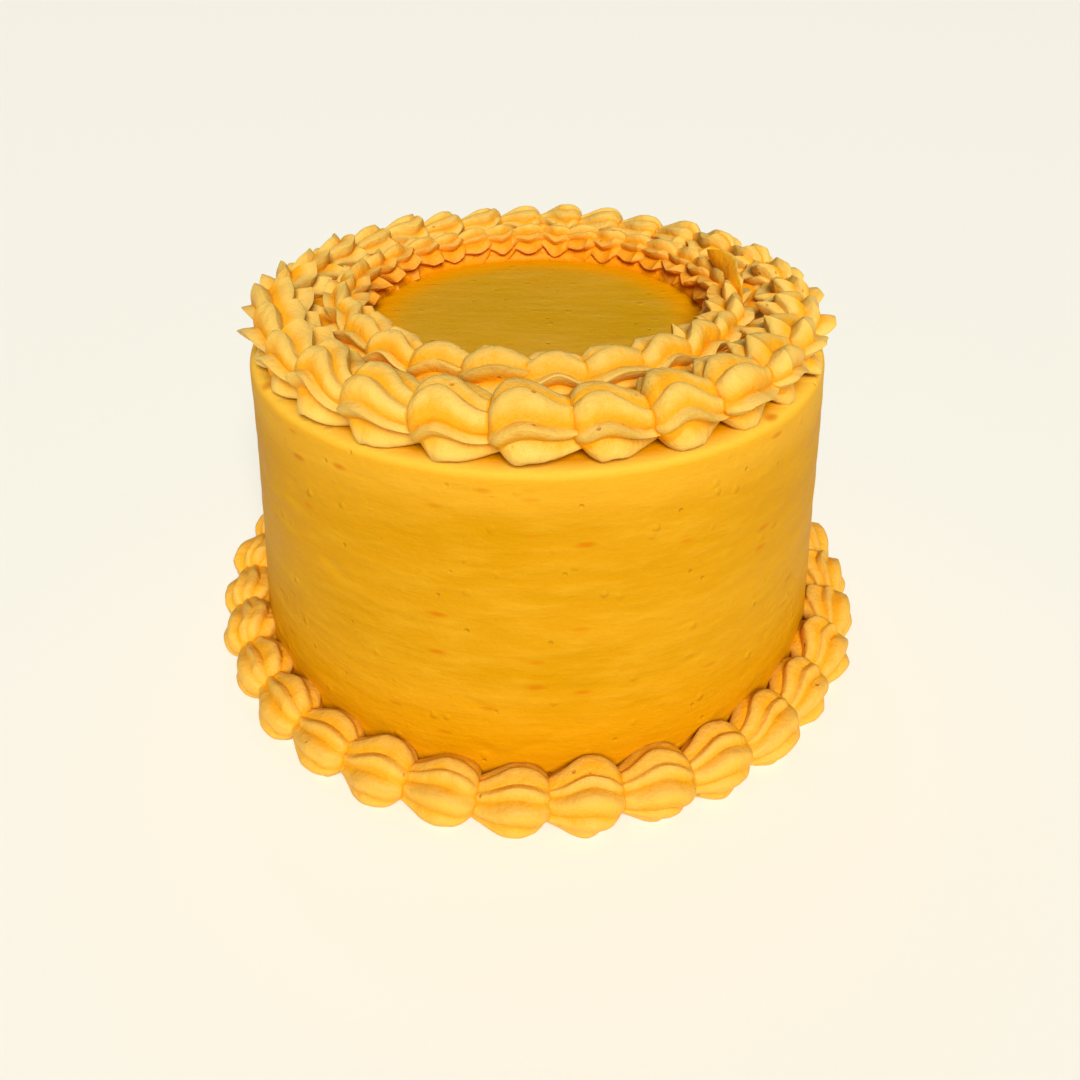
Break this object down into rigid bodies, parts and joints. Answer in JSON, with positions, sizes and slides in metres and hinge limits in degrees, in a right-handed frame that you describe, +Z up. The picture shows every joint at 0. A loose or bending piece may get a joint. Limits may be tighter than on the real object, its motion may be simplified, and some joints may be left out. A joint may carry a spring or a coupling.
{
  "type": "buttercream cake",
  "caption": "Round iced cake with smooth sides and top, and borders of piped shells round its foot, its rim and the flat middle of its top.",
  "frame": {"origin": "middle of the flat underside that the cake stands on", "axes": "+Z up along the cake's axis, -Y towards the viewer of the picture, +X to the viewer's right"},
  "size_m": [0.1862, 0.1858, 0.1023],
  "materials": {
    "smooth_buttercream": "satin",
    "piped_buttercream": "satin"
  },
  "bodies": {
    "root": {"cake_body": "smooth_buttercream", "foot_border": "piped_buttercream", "rim_border": "piped_buttercream", "inner_border": "piped_buttercream"}
  },
  "joints": []
}
